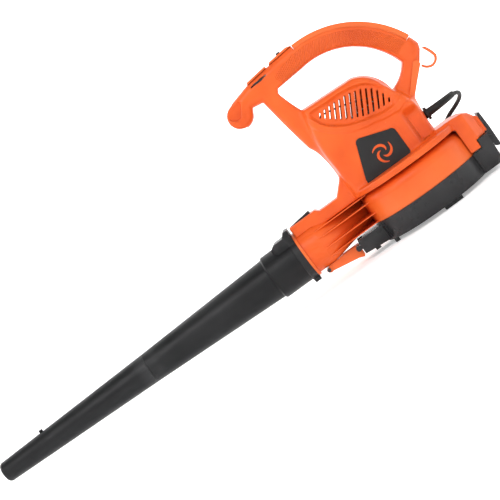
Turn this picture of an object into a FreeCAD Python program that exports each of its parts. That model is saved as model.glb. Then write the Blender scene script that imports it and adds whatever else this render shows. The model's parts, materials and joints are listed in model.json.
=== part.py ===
import FreeCAD, Part
import math
import os
import Sketcher

# Corded leaf blower. Millimetres, +Z up, the tube points along -X.
# The fan and motor turn about the Z axis, and Z = 0 is the plane under the feet.

Vector = FreeCAD.Vector
doc = FreeCAD.newDocument("leaf_blower")
sheet = doc.addObject("Spreadsheet::Sheet", "dims")
nodes = {}

DIMENSIONS = {
    "foot_height": 6,
    "wall": 3,
    "gap": 0.4,
    "cover_radius": 97,
    "cover_top": 40.6,
    "casing_bottom": 41,
    "casing_top": 88,
    "casing_radius": 95,
    "casing_edge_radius": 17,
    "inlet_radius": 42,
    "deck_bottom": 90,
    "deck_top": 100.6,
    "shelf_top": 106,
    "deck_radius": 98,
    "rear_end": 124,
    "rear_half_width": 45,
    "tower_half_width": 45,
    "grip_half_width": 18,
    "ramp_half_width": 20,
    "arch_outer_radius": 165,
    "arch_inner_radius": 127,
    "cap_depth": 9,
    "cap_half_width": 15.5,
    "nose_radius": 22,
    "tube_axis_height": 65.5,
    "duct_radius": 36.7,
    "flange_radius": 39.7,
    "spigot_radius": 33.1,
    "spigot_clearance": 0.08,
    "sleeve_radius": 38.5,
    "tube_root_radius": 35.2,
    "tube_seam_radius": 25.9,
    "tube_tip_radius": 17.3,
    "tube_wall": 2.2,
    "tube_face": -217.6,
    "tube_shoulder": -279,
    "tube_seam": -526,
    "tube_tip": -825,
    "fan_radius": 72,
    "fan_bottom": 50,
    "fan_plate_bottom": 77,
    "fan_plate_thickness": 2.5,
    "hub_radius": 13,
    "shaft_radius": 4,
    "bearing_radius": 11,
    "bearing_width": 7,
    "motor_radius": 36,
    "motor_bore": 25.2,
    "armature_radius": 24.6,
    "core_bottom": 112,
    "core_height": 40,
    "shroud_radius": 38,
    "shroud_bottom": 97,
    "shroud_top": 199,
    "bridge_bottom": 184,
    "brush_height": 173.5,
    "fan_blades": 12,
    "cover_slots": 22,
    "vent_slots": 14,
    "vent_width": 2.8,
    "rib_thickness": 1.6,
    "plate_seat": 1.2,
    "pin_play": 0.06,
    "hook_pin_radius": 3,
    "small_pin_radius": 2,
    "case_screw_radius": 2,
    "cord_height": 133,
    "cord_radius": 3.5,
}


def fill_sheet():
    for row, (name, number) in enumerate(DIMENSIONS.items(), start=1):
        sheet.set(f"A{row}", str(number))
        sheet.setAlias(f"A{row}", name)
    doc.recompute()


def value(sum_of_names):
    """The number that a sum such as "wall + gap - 2" stands for."""
    total = 0.0
    sign = 1
    for word in sum_of_names.split():
        if word in "+-":
            sign = 1 if word == "+" else -1
        else:
            total += sign * (float(sheet.get(word)) if word[0].isalpha() else float(word))
    return total


def bind(item, place, sum_of_names):
    """Tie a property or a sketch constraint to the sheet."""
    words = [f"dims.{w}" if w[0].isalpha() else w for w in sum_of_names.split()]
    item.setExpression(place, " ".join(words))


def keep(label, item):
    item.Label = label
    nodes[label] = item
    return item


# ---------------------------------------------------------------- PartDesign tools


def new_body(label):
    return keep(label, doc.addObject("PartDesign::Body", "Body"))


def sketch_on(body, plane, level="0", raised="0"):
    """A sketch on the body's own plane, moved along its normal by level and up by raised."""
    planes = {p.Role: p for p in body.Origin.OriginFeatures}
    sketch = body.newObject("Sketcher::SketchObject", "Sketch")
    sketch.AttachmentSupport = [(planes[plane + "_Plane"], "")]
    sketch.MapMode = "FlatFace"
    bind(sketch, "AttachmentOffset.Base.z", level)
    bind(sketch, "AttachmentOffset.Base.y", raised)
    return sketch


def circle(sketch, across, up, radius):
    number = sketch.addGeometry(Part.Circle(Vector(across, up, 0), Vector(0, 0, 1), value(radius)))
    limit = sketch.addConstraint(Sketcher.Constraint("Radius", number, value(radius)))
    sketch.renameConstraint(limit, f"round{number}")
    bind(sketch, f"Constraints.round{number}", radius)


def outline(sketch, start, *steps):
    """Closed outline: each step is a point (a line to it) or two points (an arc through one to the next)."""
    here = Vector(*start, 0)
    for step in (*steps, start):
        if isinstance(step[0], tuple):
            middle, end = Vector(*step[0], 0), Vector(*step[1], 0)
            sketch.addGeometry(Part.Arc(here, middle, end))
        else:
            end = Vector(*step, 0)
            if (end - here).Length > 1e-6:
                sketch.addGeometry(Part.LineSegment(here, end))
        here = end


def rectangle(sketch, low, high):
    outline(sketch, low, (high[0], low[1]), high, (low[0], high[1]))


def feature(body, kind, sketch, length, backward=False, both=False):
    made = body.newObject("PartDesign::" + kind, kind)
    made.Profile = sketch
    bind(made, "Length", length)
    made.Reversed = backward
    if both:
        made.SideType = "Symmetric"
    doc.recompute()
    return made


def pad(body, sketch, length, backward=False, both=False):
    return feature(body, "Pad", sketch, length, backward, both)


def pocket(body, sketch, length, backward=False, both=False):
    """Removes material, and stops the build if it removed none."""
    before = body.Shape.Volume
    made = feature(body, "Pocket", sketch, length, backward, both)
    if body.Shape.Volume > before - 0.5:
        raise RuntimeError(f"a pocket in {body.Label} cut nothing")
    return made


def turned(body, kind, sketch):
    """A revolution or groove about the sketch's own horizontal axis."""
    made = body.newObject("PartDesign::" + kind, kind)
    made.Profile = sketch
    made.ReferenceAxis = (sketch, ["H_Axis"])
    made.Angle = 360
    doc.recompute()
    return made


def loft(body, kind, sections):
    made = body.newObject("PartDesign::" + kind, kind)
    made.Profile = sections[0]
    made.Sections = sections[1:]
    doc.recompute()
    return made


def patterned(body, feature_made, count):
    """Repeats a feature round the body's Z axis."""
    axes = {a.Role: a for a in body.Origin.OriginFeatures}
    pattern = body.newObject("PartDesign::PolarPattern", "Pattern")
    pattern.Originals = [feature_made]
    pattern.Axis = (axes["Z_Axis"], [""])
    pattern.Angle = 360
    pattern.Occurrences = count
    body.Tip = pattern
    doc.recompute()


def rounded(body, radius, test):
    """Fillets the edges whose bounding box passes the test."""
    made = body.newObject("PartDesign::Fillet", "Fillet")
    last = [f for f in body.Group if f.isDerivedFrom("PartDesign::Feature") and f != made][-1]
    edges = [f"Edge{n}" for n, edge in enumerate(last.Shape.Edges, 1) if test(edge.BoundBox)]
    made.Base = (last, edges)
    bind(made, "Radius", radius)
    doc.recompute()


# ---------------------------------------------------------------- primitive tools


def cylinder(radius, height, bottom, across=0, along=0):
    made = doc.addObject("Part::Cylinder", "Cylinder")
    bind(made, "Radius", radius)
    bind(made, "Height", height)
    made.Placement.Base = Vector(across, along, value(bottom))
    bind(made, "Placement.Base.z", bottom)
    return made


def lying(radius, length, middle, direction):
    """A cylinder centred on a point and lying along a direction."""
    made = doc.addObject("Part::Cylinder", "Cylinder")
    bind(made, "Radius", radius)
    bind(made, "Height", length)
    turn = FreeCAD.Rotation(Vector(0, 0, 1), Vector(*direction))
    start = Vector(*middle) - turn.multVec(Vector(0, 0, value(length) / 2))
    made.Placement = FreeCAD.Placement(start, turn)
    return made


def box(low, high):
    made = doc.addObject("Part::Box", "Box")
    made.Length, made.Width, made.Height = (b - a for a, b in zip(low, high))
    made.Placement.Base = Vector(*low)
    return made


def cut(base, tool):
    made = doc.addObject("Part::Cut", "Cut")
    made.Base, made.Tool = base, tool
    return made


def fused(*pieces):
    made = doc.addObject("Part::MultiFuse", "Fused")
    made.Shapes = list(pieces)
    return made


def group(label, *pieces):
    """Separate solids that share one node."""
    made = doc.addObject("Part::Compound", "Group")
    made.Links = list(pieces)
    return keep(label, made)


def ring(outer, inner, height, bottom):
    return cut(cylinder(outer, height, bottom), cylinder(inner, height, bottom))


# ---------------------------------------------------------------- housing

ARCH_CENTRE = (-32, 181)
NOSE_CENTRE = (-170, 305)
SWITCH_SLOT = ((-77, -4.5), (-53, 4.5))
SCREW_CIRCLE = 62


def on_arch(radius, degrees):
    """A point on a circle about the handle arch's centre."""
    angle = math.radians(degrees)
    return (ARCH_CENTRE[0] + radius * math.cos(angle), ARCH_CENTRE[1] + radius * math.sin(angle))


def on_screw_circle(degrees):
    angle = math.radians(degrees)
    return (SCREW_CIRCLE * math.cos(angle), SCREW_CIRCLE * math.sin(angle))


# Where the screws join the halves: across, up, and the half's inside depth there.
HOUSING_SCREWS = (
    (-139, 318, "grip_half_width - wall"),
    (-109, 268, "grip_half_width - wall"),
    (*on_arch(134.5, 38), "grip_half_width - wall"),
    (*on_arch(134.5, 70), "grip_half_width - wall"),
    (-82, 132, "tower_half_width - wall"),
    (110, 78, "rear_half_width - wall"),
)


# The slanting top of the handle's head, under the dial frame and the switch frame.
HEAD_TOP = ((-135, 336.5), (-91, 341.5))


def handle_outline(sketch):
    """The side view of the nose, the handle arch and both legs."""
    radius = value("nose_radius")
    outer = value("arch_outer_radius")
    low = (NOSE_CENTRE[0] + radius * math.cos(math.radians(-25)), NOSE_CENTRE[1] - radius * 0.42)
    far = (NOSE_CENTRE[0] - radius, NOSE_CENTRE[1])
    top = (NOSE_CENTRE[0] - 6, NOSE_CENTRE[1] + radius * 0.956)
    outline(
        sketch,
        (-98, 150),
        ((-103, 180), (-112, 199)),
        ((-121, 250), (-128, 300)),
        (-146, 303),
        low,
        (far, top),
        *HEAD_TOP,
        on_arch(outer, 95),
        (on_arch(outer, 56), on_arch(outer - 2, 18)),
        (120, 222),
        (103, 199),
        (68, 164),
        (60, 130),
        (60, 110),
        (-98, 110),
    )


def tower_outline(sketch):
    """The side view of the motor tower and the vent pod above it."""
    outline(
        sketch,
        (-97, 92),
        (-97, 152),
        ((-96, 205), (-84, 254)),
        (-2, 250),
        ((22, 240), (38, 214)),
        (56, 180),
        (63, 160),
        (63, 92),
    )


def tower_space(sketch):
    rear_side = ((34, 210), (52, 178), (58, 158), (58, 101))
    outline(sketch, (-92, 101), (-92, 150), ((-91, 205), (-80, 249)), (-4, 246), *rear_side)


def rear_outline(sketch):
    """The side view of the block behind the fan casing and the shelf above it."""
    top, end = value("shelf_top"), value("rear_end")
    shelf = ((end, top - 16), (end - 6, top - 7), (end - 14, top - 2.5), (90, top), (60, top))
    outline(sketch, (84, 43), (104.6, 43), (104.6, 56.6), (end, 56.6), *shelf, (60, 92), (84, 92))


def housing_half(label, side):
    """One moulded half of the body: -1 is the left half, at -Y, and 1 the right half."""
    body = new_body(label)
    right = side > 0
    tower = sketch_on(body, "XZ")
    tower_outline(tower)
    pad(body, tower, "tower_half_width", right)
    handle = sketch_on(body, "XZ")
    handle_outline(handle)
    pad(body, handle, "grip_half_width", right)
    deck = sketch_on(body, "XY", "deck_bottom")
    reach = value("deck_radius")
    outline(deck, (-reach, 0), ((0, side * reach), (reach, 0)))
    pad(body, deck, "deck_top - deck_bottom")
    rear = sketch_on(body, "XZ")
    rear_outline(rear)
    pad(body, rear, "rear_half_width", right)
    casing_room = sketch_on(body, "XY", "casing_bottom")
    circle(casing_room, 0, 0, "casing_radius + 2")
    pocket(body, casing_room, "casing_top - casing_bottom + gap", True)
    lug = sketch_on(body, "XZ")
    outline(lug, (123, 58), (129.4, 58), (129.4, 85), (123, 89))
    pad(body, lug, "ramp_half_width", right)
    ramp = sketch_on(body, "XZ")
    outline(
        ramp,
        (-212.6, 89.4),
        (-212.6, 115.5),
        (-163, 115.5),
        (-157, 110),
        (-123, 110),
        (-97, 137),
        (-90, 137),
        (-90, 89.4),
    )
    pad(body, ramp, "ramp_half_width", right)
    hollow_housing(body, right, side)
    return body


def hollow_housing(body, right, side):
    """Opens the half up: the motor space, the channels, the finger window, the vents and the duct's way."""
    inside = sketch_on(body, "XZ")
    tower_space(inside)
    pocket(body, inside, "tower_half_width - wall", not right)
    window = sketch_on(body, "XZ")
    inner = value("arch_inner_radius")
    outline(
        window,
        (-100, 297),
        ((-94, 276), (-86, 255)),
        (5, 250),
        ((27, 238), (48, 196)),
        ((68, 205), (85, 222)),
        (on_arch(inner, 58), on_arch(inner, 97)),
        (-96, 304),
    )
    pocket(body, window, "tower_half_width + 1", not right)
    channel = sketch_on(body, "XZ")
    outer = value("arch_outer_radius - cap_depth")
    outline(
        channel,
        on_arch(inner + 3.2, 22),
        (on_arch(inner + 3.2, 58), on_arch(inner + 3.2, 96)),
        on_arch(outer - 2, 96),
        (on_arch(outer - 2, 58), on_arch(outer - 2, 22)),
    )
    pocket(body, channel, "grip_half_width - wall", not right)
    seat = sketch_on(body, "XZ")
    outer_edge = value("arch_outer_radius + 3")
    outline(
        seat,
        on_arch(outer, 24),
        (on_arch(outer, 58), on_arch(outer, 93)),
        on_arch(outer_edge, 93),
        (on_arch(outer_edge, 58), on_arch(outer_edge, 24)),
    )
    pocket(body, seat, "cap_half_width + gap", not right)
    front_leg = sketch_on(body, "XZ")
    outline(front_leg, (-96, 240), (-98, 255), (-107, 297), (-118, 297), (-106, 240))
    pocket(body, front_leg, "grip_half_width - wall", not right)
    rear_leg = sketch_on(body, "XZ")
    outline(rear_leg, (54, 172), (66, 172), (104, 210), (114, 232), (94, 232), (80, 209), (60, 194))
    pocket(body, rear_leg, "grip_half_width - wall", not right)
    head = sketch_on(body, "XZ")
    head_top = ((-45, 339), (-86, 337), (-133, 331), (-146, 327))
    outline(head, (-146, 309), (-100, 309), (-86, 314), (-45, 314), *head_top)
    pocket(body, head, "grip_half_width - wall", not right)
    rear_space = sketch_on(body, "XZ")
    outline(rear_space, (100.5, 60), (121, 60), (121, 87), (115.5, 95.5), (108.5, 100), (100.5, 101))
    pocket(body, rear_space, "rear_half_width - wall", not right)
    dial_slit = sketch_on(body, "XZ")
    rectangle(dial_slit, (-132, 328.6), (-94, 333.4))
    pocket(body, dial_slit, "grip_half_width + 1", not right)
    cord_way = sketch_on(body, "YZ", "50")
    circle(cord_way, 0, value("cord_height"), "8.2")
    pocket(body, cord_way, "30", True)
    under_deck = sketch_on(body, "XY", "deck_bottom")
    reach = value("deck_radius - wall")
    outline(under_deck, (-reach + 12, 0), ((0, side * (reach - 6)), (reach, 0)))
    pocket(body, under_deck, "deck_top - deck_bottom - wall", True)
    duct_way = sketch_on(body, "YZ", "-214")
    circle(duct_way, 0, value("tube_axis_height"), "duct_radius + gap")
    pocket(body, duct_way, "30", True)
    loft(body, "SubtractiveLoft", duct_sections(body, " + gap"))
    motor_way = sketch_on(body, "XY", "casing_top")
    circle(motor_way, 0, 0, "shroud_radius + 1")
    pocket(body, motor_way, "20", True)
    button_way = sketch_on(body, "XY", "103.4")
    rectangle(button_way, (-209, -9.6), (-171, 9.6))
    pocket(body, button_way, "20", True)
    switch_way = sketch_on(body, "XY", "333")
    rectangle(switch_way, *SWITCH_SLOT)
    pocket(body, switch_way, "20", True)
    vents(body, right)
    plate_seat = sketch_on(body, "XZ", "- tower_half_width" if right else "tower_half_width")
    nameplate_outline(plate_seat, 0)
    pocket(body, plate_seat, "plate_seat", right)
    for degrees in (45, 135):
        across, along = on_screw_circle(side * degrees)
        post = sketch_on(body, "XY", "casing_top + 0.05")
        circle(post, across, along, "5")
        pad(body, post, "deck_top - casing_top - wall")
        post_hole = sketch_on(body, "XY", "casing_top")
        circle(post_hole, across, along, "case_screw_radius + 0.02")
        pocket(body, post_hole, "12", True)
    for across, up, depth in HOUSING_SCREWS:
        boss = sketch_on(body, "XZ")
        circle(boss, across, up, "3.8")
        pad(body, boss, depth + " + 0.5", right)
        hole = sketch_on(body, "XZ")
        circle(hole, across, up, "1.52")
        pocket(body, hole, "13", not right)


def vents(body, right):
    """Leaning slots, a little wider apart towards the rear, between the leaf's lower and upper edges."""
    slots = sketch_on(body, "XZ")
    count, width = DIMENSIONS["vent_slots"], DIMENSIONS["vent_width"]
    for number in range(count):
        foot = -71 + 5.6 * number + 0.165 * number ** 2
        low = 184 + 43 * (max(0, 21 - foot) / 92) ** 2.1
        high = 234 - 33 * (number / (count - 2)) ** 3.6
        lean = (high - low) * 0.57
        outline(slots, (foot, low), (foot + width, low), (foot + width + lean, high), (foot + lean, high))
    pocket(body, slots, "tower_half_width + 1", not right)


def nameplate_outline(sketch, inset):
    low, high, rear = 99.5 + inset, 166.5 - inset, 13.5 - inset
    outline(
        sketch,
        (-69.5 + inset, low),
        (rear - 7, low),
        ((rear - 1.5, low + 2), (rear, low + 7)),
        (rear, 143.5),
        ((rear - 3, 149.5 - inset), (rear - 8, 151 - inset)),
        (-39.5, high),
        ((-46.5, high - 1), (-49.5, high - 6)),
        (-69.5 + inset, low + 8),
    )


def nameplate(label, side):
    body = new_body(label)
    face = sketch_on(body, "XZ", "- tower_half_width" if side > 0 else "tower_half_width")
    nameplate_outline(face, 0.3)
    pad(body, face, "plate_seat - 0.1", side < 0)


def grip_cap():
    """The strip along the top of the grip, with the frames that hold the dial and the switch."""
    body = new_body("grip_cap")
    arch = sketch_on(body, "XZ")
    outer, inner = value("arch_outer_radius"), value("arch_outer_radius - cap_depth + gap")
    outline(
        arch,
        on_arch(inner, 24.4),
        (on_arch(inner, 58), on_arch(inner, 92.6)),
        on_arch(outer, 92.6),
        (on_arch(outer, 58), on_arch(outer, 24.4)),
    )
    pad(body, arch, "cap_half_width + cap_half_width", both=True)


def switch_frame():
    """The raised frame round the slide switch, on the front end of the grip."""
    body = new_body("switch_frame")
    side_view = sketch_on(body, "XZ")
    outline(side_view, (-86, 342.2), (-40, 346.2), (-49, 348.9), (-84, 345.4))
    pad(body, side_view, "22", both=True)
    slot = sketch_on(body, "XY", "340")
    rectangle(slot, *SWITCH_SLOT)
    pocket(body, slot, "20", True)


def dial_frame():
    body = new_body("dial_frame")
    side_view = sketch_on(body, "XZ")
    outline(side_view, (-132, 337), (-92, 341.6), (-93, 344.8), (-130, 340.6))
    pad(body, side_view, "24", both=True)
    rounded(body, "1.2", lambda b: b.YLength < 0.1 and b.ZMin > 340 and b.XLength > 10)


def rear_leg_cover():
    """The inset cover strip on the rear leg, above the cord."""
    for label, side in (("rear_leg_cover_left", -1), ("rear_leg_cover_right", 1)):
        body = new_body(label)
        strip = sketch_on(body, "XZ", "- grip_half_width - gap" if side > 0 else "grip_half_width + gap")
        outline(strip, (62, 171), (70, 168), (106, 203), (105, 211), (98, 212))
        pad(body, strip, "1.6", side > 0)


def cord_hook():
    """The loop at the back of the rear leg that an extension cord is tucked through."""
    body = new_body("cord_hook")
    loop = sketch_on(body, "XZ")
    outline(
        loop,
        (123.8, 222),
        (127.4, 221),
        ((133, 210), (135.5, 200)),
        ((130, 191), (121, 187.5)),
        ((113, 190), (106.4, 198)),
        (108.4, 200.6),
        ((114, 194), (121, 191.5)),
        ((128, 194), (131.5, 200.5)),
        ((129, 209), (124.6, 219)),
    )
    pad(body, loop, "10", both=True)


# ---------------------------------------------------------------- fan casing and cover

# Cross pins seen from the side: the hook pin, the cover's hinge and the latch's hinge.
HOOK_PIN = (-200, 24.4)
HINGE_PIN = (-141.6, 25)
LATCH_PIN = (127.6, 44)

RIB_HEIGHTS = (88, 75.5, 57, 42.5)


def duct_sections(body, thinner):
    """Rings from the round socket, through the bend, to the mouth that runs along the casing's far side."""
    sections = []
    for level, across, up, radius in (
        ("-184", 0, 65.5, "duct_radius"),
        ("-137", 12, 65.3, "28"),
        ("-92", 42, 64.8, "23.3"),
        ("-50", 62, 64.6, "22.8"),
        ("-10", 71.9, 64.6, "22.8"),
    ):
        ring_sketch = sketch_on(body, "YZ", level)
        circle(ring_sketch, across, up, radius + thinner)
        sections.append(ring_sketch)
    return sections


def scroll_casing():
    """The drum round the fan, its outlet duct with four side ribs, and the duct's flange."""
    body = new_body("scroll_casing")
    drum = sketch_on(body, "XY", "casing_bottom")
    circle(drum, 0, 0, "casing_radius")
    pad(body, drum, "casing_top - casing_bottom")
    rounded(body, "casing_edge_radius", lambda b: b.ZMin > value("casing_top") - 0.1)
    loft(body, "AdditiveLoft", duct_sections(body, ""))
    straight = sketch_on(body, "YZ", "-184")
    circle(straight, 0, value("tube_axis_height"), "duct_radius")
    pad(body, straight, "30", True)
    flange = sketch_on(body, "YZ", "tube_face + 0.3")
    circle(flange, 0, value("tube_axis_height"), "flange_radius")
    pad(body, flange, "4.4")
    for height in RIB_HEIGHTS:
        reach = math.sqrt(value("duct_radius") ** 2 - (height - value("tube_axis_height")) ** 2)
        rib = sketch_on(body, "XY", f"{height - DIMENSIONS['rib_thickness'] / 2}")
        edge = -reach - 0.6
        outline(rib, (-186, 0), (-186, edge + 1.6), (-180, edge), (-84, edge), (-84, 30), (-120, 30))
        pad(body, rib, "rib_thickness")
    loft(body, "SubtractiveLoft", duct_sections(body, " - wall - 0.52"))
    socket = sketch_on(body, "YZ", "tube_face - 2")
    circle(socket, 0, value("tube_axis_height"), "spigot_radius + spigot_clearance")
    pocket(body, socket, "35.8", True)
    space = sketch_on(body, "XY", "casing_bottom")
    circle(space, 0, 0, "casing_radius - wall")
    pocket(body, space, "casing_top - casing_bottom - wall - 11", True)
    upper_space = sketch_on(body, "XY", "casing_bottom")
    circle(upper_space, 0, 0, "casing_radius - 12")
    pocket(body, upper_space, "casing_top - casing_bottom - wall", True)
    shaft_hole = sketch_on(body, "XY", "casing_bottom")
    circle(shaft_hole, 0, 0, "bearing_radius + wall")
    pocket(body, shaft_hole, "60", True)
    tongue = sketch_on(body, "XY", "casing_bottom + wall + gap")
    outline(tongue, (-93.6, 1), (-92, -8), (-76, 22), (-78.5, 25))
    pad(body, tongue, "casing_top - casing_bottom - wall - wall")
    for number in range(4):
        screw_hole = sketch_on(body, "XY", "casing_top - 6")
        circle(screw_hole, *on_screw_circle(45 + 90 * number), "case_screw_radius + 0.02")
        pocket(body, screw_hole, "12", True)


def casing_floor():
    """The plate under the fan, with the round inlet lip."""
    body = new_body("casing_floor")
    plate = sketch_on(body, "XY", "casing_bottom")
    circle(plate, 0, 0, "casing_radius - wall - gap")
    pad(body, plate, "wall")
    lip = sketch_on(body, "XY", "casing_bottom - 6")
    circle(lip, 0, 0, "inlet_radius + wall")
    pad(body, lip, "8")
    inlet = sketch_on(body, "XY", "casing_bottom - 7")
    circle(inlet, 0, 0, "inlet_radius")
    pocket(body, inlet, "20", True)


def hinge_bracket():
    """The web under the duct that carries the cover's hinge and the cross pin for the vacuum tube."""
    body = new_body("hinge_bracket")
    web = sketch_on(body, "XZ")
    outline(
        web,
        (-204, 25),
        ((-200, 19.2), (-195, 19.4)),
        (-150, 12),
        (-141, 8.5),
        (-138.6, 12),
        (-138.4, 40),
        (-150, 44),
        (-176, 30),
        (-196, 29.5),
    )
    pad(body, web, "24", both=True)
    clear = sketch_on(body, "YZ", "-213")
    circle(clear, 0, value("tube_axis_height"), "duct_radius")
    pocket(body, clear, "100", True)
    inside = sketch_on(body, "XZ")
    outline(inside, (-190, 22), (-146, 15), (-144, 33), (-152, 36), (-176, 26.4), (-190, 26))
    pocket(body, inside, "17", both=True)
    for place, radius in ((HOOK_PIN, "hook_pin_radius"), (HINGE_PIN, "small_pin_radius")):
        hole = sketch_on(body, "XZ", "-20")
        circle(hole, *place, radius + " + pin_play")
        pocket(body, hole, "40", True)


def intake_cover():
    """The black cover under the fan, with its air slots, front tongue and raised rear step."""
    body = new_body("intake_cover")
    drum = sketch_on(body, "XY", "foot_height")
    circle(drum, 0, 0, "cover_radius")
    pad(body, drum, "cover_top - foot_height")
    tongue = sketch_on(body, "XZ")
    outline(tongue, (-136.6, 13), (-92, 9), (-80, 6), (-60, 6), (-60, 36), (-136.6, 36))
    pad(body, tongue, "66", both=True)
    tail = sketch_on(body, "XZ")
    outline(tail, (60, 6), (108, 6), ((118, 9), (122, 20)), (124, 56), (106.2, 56), (105, 40.6), (60, 40.6))
    pad(body, tail, "86", both=True)
    ears = sketch_on(body, "XZ")
    outline(ears, (118, 36), (131, 40), (131, 48), (118, 54))
    pad(body, ears, "52", both=True)
    between_ears = sketch_on(body, "XZ")
    rectangle(between_ears, (123.6, 28), (134, 60))
    pocket(body, between_ears, "42", both=True)
    rounded(body, "2.5", lambda b: b.ZMax < 6.01 and b.XLength > 150)
    space = sketch_on(body, "XY", "foot_height + wall")
    circle(space, 0, 0, "cover_radius - wall")
    pocket(body, space, "60", True)
    bracket_room = sketch_on(body, "XY", "foot_height")
    rectangle(bracket_room, (-140, -12.8), (-126.6, 12.8))
    pocket(body, bracket_room, "60", True)
    tongue_space = sketch_on(body, "XZ")
    outline(tongue_space, (-124, 15), (-92, 12), (-80, 9), (-80, 33), (-124, 33))
    pocket(body, tongue_space, "60", both=True)
    tail_space = sketch_on(body, "XZ")
    step = ((120.5, 53), (109, 53), (108, 37.6), (80, 37.6))
    outline(tail_space, (80, 9), (107, 9), (114, 12), (118, 22), *step)
    pocket(body, tail_space, "80", both=True)
    pin_hole = sketch_on(body, "XZ", "-24.6")
    circle(pin_hole, *LATCH_PIN, "small_pin_radius + pin_play")
    pocket(body, pin_hole, "49.2", True)
    slot = sketch_on(body, "XY", "foot_height - 1")
    outline(slot, (28, -2), (82, -4), ((84.5, 0), (82, 4)), (28, 2))
    patterned(body, pocket(body, slot, "wall + 2", True), DIMENSIONS["cover_slots"])


def cover_knuckles():
    """The two knuckles at the tongue's front that turn on the hinge pin."""
    knuckles = []
    across, up = HINGE_PIN
    for side in (-1, 1):
        middle = (across, side * 19.4, up)
        bar = lying("4.6", "12", middle, (0, 1, 0))
        arm = box((across, middle[1] - 6, up - 3.5), (across + 5, middle[1] + 6, up + 3.5))
        bore = lying("small_pin_radius + pin_play", "12", (across, side * 17.4, up), (0, 1, 0))
        knuckles.append(cut(fused(bar, arm), bore))
    group("cover_knuckles", *knuckles)


def cover_feet():
    feet = []
    for side in (-1, 1):
        feet.append(box((3, side * 76 - 9, 0), (35, side * 76 + 9, value("foot_height"))))
        feet.append(box((-88, side * 36 - 6, 0), (-80, side * 36 + 6, value("foot_height + 0.5"))))
        feet.append(box((-120, side * 24 - 6, 7), (-111, side * 24 + 6, 11.7)))
    group("cover_feet", *feet)


def latch_lever():
    """The spring latch at the back: its lower end turns on a pin and its hook holds the body's lug."""
    body = new_body("latch_lever")
    lever = sketch_on(body, "XZ")
    outline(
        lever,
        (126, 30),
        (131, 27),
        (134.5, 28),
        (135.5, 62),
        (134.8, 88),
        (131, 88.6),
        (130.4, 57.4),
        (124.8, 57.2),
        (124.8, 40),
    )
    pad(body, lever, "38", both=True)
    bore = sketch_on(body, "XZ", "-30")
    circle(bore, *LATCH_PIN, "small_pin_radius + pin_play")
    pocket(body, bore, "60", True)
    for height in range(5):
        groove = sketch_on(body, "XZ")
        level = 70 + 3.4 * height
        outline(groove, (134.4, level), (137, level), (137, level + 1.4), (134.4, level + 1.4))
        pocket(body, groove, "30", both=True)
    spring_room = sketch_on(body, "XZ")
    outline(spring_room, (124, 46.8), (129, 46.8), (129, 54), (124, 54))
    pocket(body, spring_room, "14", both=True)


def pins():
    for label, place, radius, length in (
        ("hook_pin", HOOK_PIN, "hook_pin_radius", "44"),
        ("cover_hinge_pin", HINGE_PIN, "small_pin_radius", "46"),
        ("latch_pin", LATCH_PIN, "small_pin_radius", "49"),
    ):
        keep(label, lying(radius, length, (place[0], 0, place[1]), (0, 1, 0)))


# ---------------------------------------------------------------- tube


def rear_tube():
    """The rear tube section: the catch block, the sleeve, the cone and the spigot at each end."""
    body = new_body("rear_tube")
    catch = sketch_on(body, "XZ")
    hooked_top = ((-225, 117), (-231, 109.4), (-248, 109), (-256, 104), (-256, 98))
    outline(catch, (-250, 92), (-217.6, 92), (-217.6, 117), *hooked_top)
    pad(body, catch, "58", both=True)
    keel = sketch_on(body, "XZ")
    outline(keel, (-217.6, 20), (-217.6, 40), (-231, 40), (-228, 20))
    pad(body, keel, "20", both=True)
    outside = sketch_on(body, "XZ", "0", "tube_axis_height")
    face, shoulder, seam = value("tube_face"), value("tube_shoulder"), value("tube_seam")
    spigot, ledge = value("spigot_radius"), value("flange_radius")
    sleeve, root, at_seam = value("sleeve_radius"), value("tube_root_radius"), value("tube_seam_radius")
    thin = value("tube_wall")
    outline(
        outside,
        (face + 20, 0),
        (face + 20, spigot),
        (face, spigot),
        (face, ledge),
        (face - 10, ledge),
        (face - 11.4, sleeve),
        (shoulder, sleeve),
        (shoulder - 3, root),
        (seam, at_seam),
        (seam, at_seam - thin - 0.3),
        (seam - 18, at_seam - thin - 0.9),
        (seam - 18, 0),
    )
    turned(body, "Revolution", outside)
    bore = sketch_on(body, "XZ", "0", "tube_axis_height")
    outline(
        bore,
        (face + 21, 0),
        (face + 21, spigot - thin),
        (face - 2, spigot - thin),
        (face - 16, root - thin),
        (shoulder, root - thin),
        (seam + 12, at_seam - thin + 0.2),
        (seam + 4, at_seam - 2 * thin - 0.3),
        (seam - 19, at_seam - 2 * thin - 0.9),
        (seam - 19, 0),
    )
    turned(body, "Groove", bore)


def front_tube():
    """The nozzle section, which slips over the rear section's spigot, with its stop nub on top."""
    body = new_body("front_tube")
    seam, tip = value("tube_seam - gap"), value("tube_tip")
    at_seam, at_tip, thin = value("tube_seam_radius"), value("tube_tip_radius"), value("tube_wall")
    outside = sketch_on(body, "XZ", "0", "tube_axis_height")
    outline(
        outside,
        (seam, 0),
        (seam, at_seam),
        (tip + 8, at_tip + 0.2),
        ((tip + 2.2, at_tip - 1.4), (tip, at_tip - 4.2)),
        (tip, 0),
    )
    turned(body, "Revolution", outside)
    nub = sketch_on(body, "XY", "tube_axis_height")
    circle(nub, -735, 0, "3.4")
    pad(body, nub, "tube_tip_radius + 6.8")
    bore = sketch_on(body, "XZ", "0", "tube_axis_height")
    outline(
        bore,
        (seam + 1, 0),
        (seam + 1, at_seam - thin),
        (seam - 19, at_seam - thin - 0.6),
        (tip + 20, at_tip - thin + 0.2),
        (tip + 16, at_tip - thin - 0.6),
        (tip - 1, at_tip - thin - 0.6),
        (tip - 1, 0),
    )
    turned(body, "Groove", bore)


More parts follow.
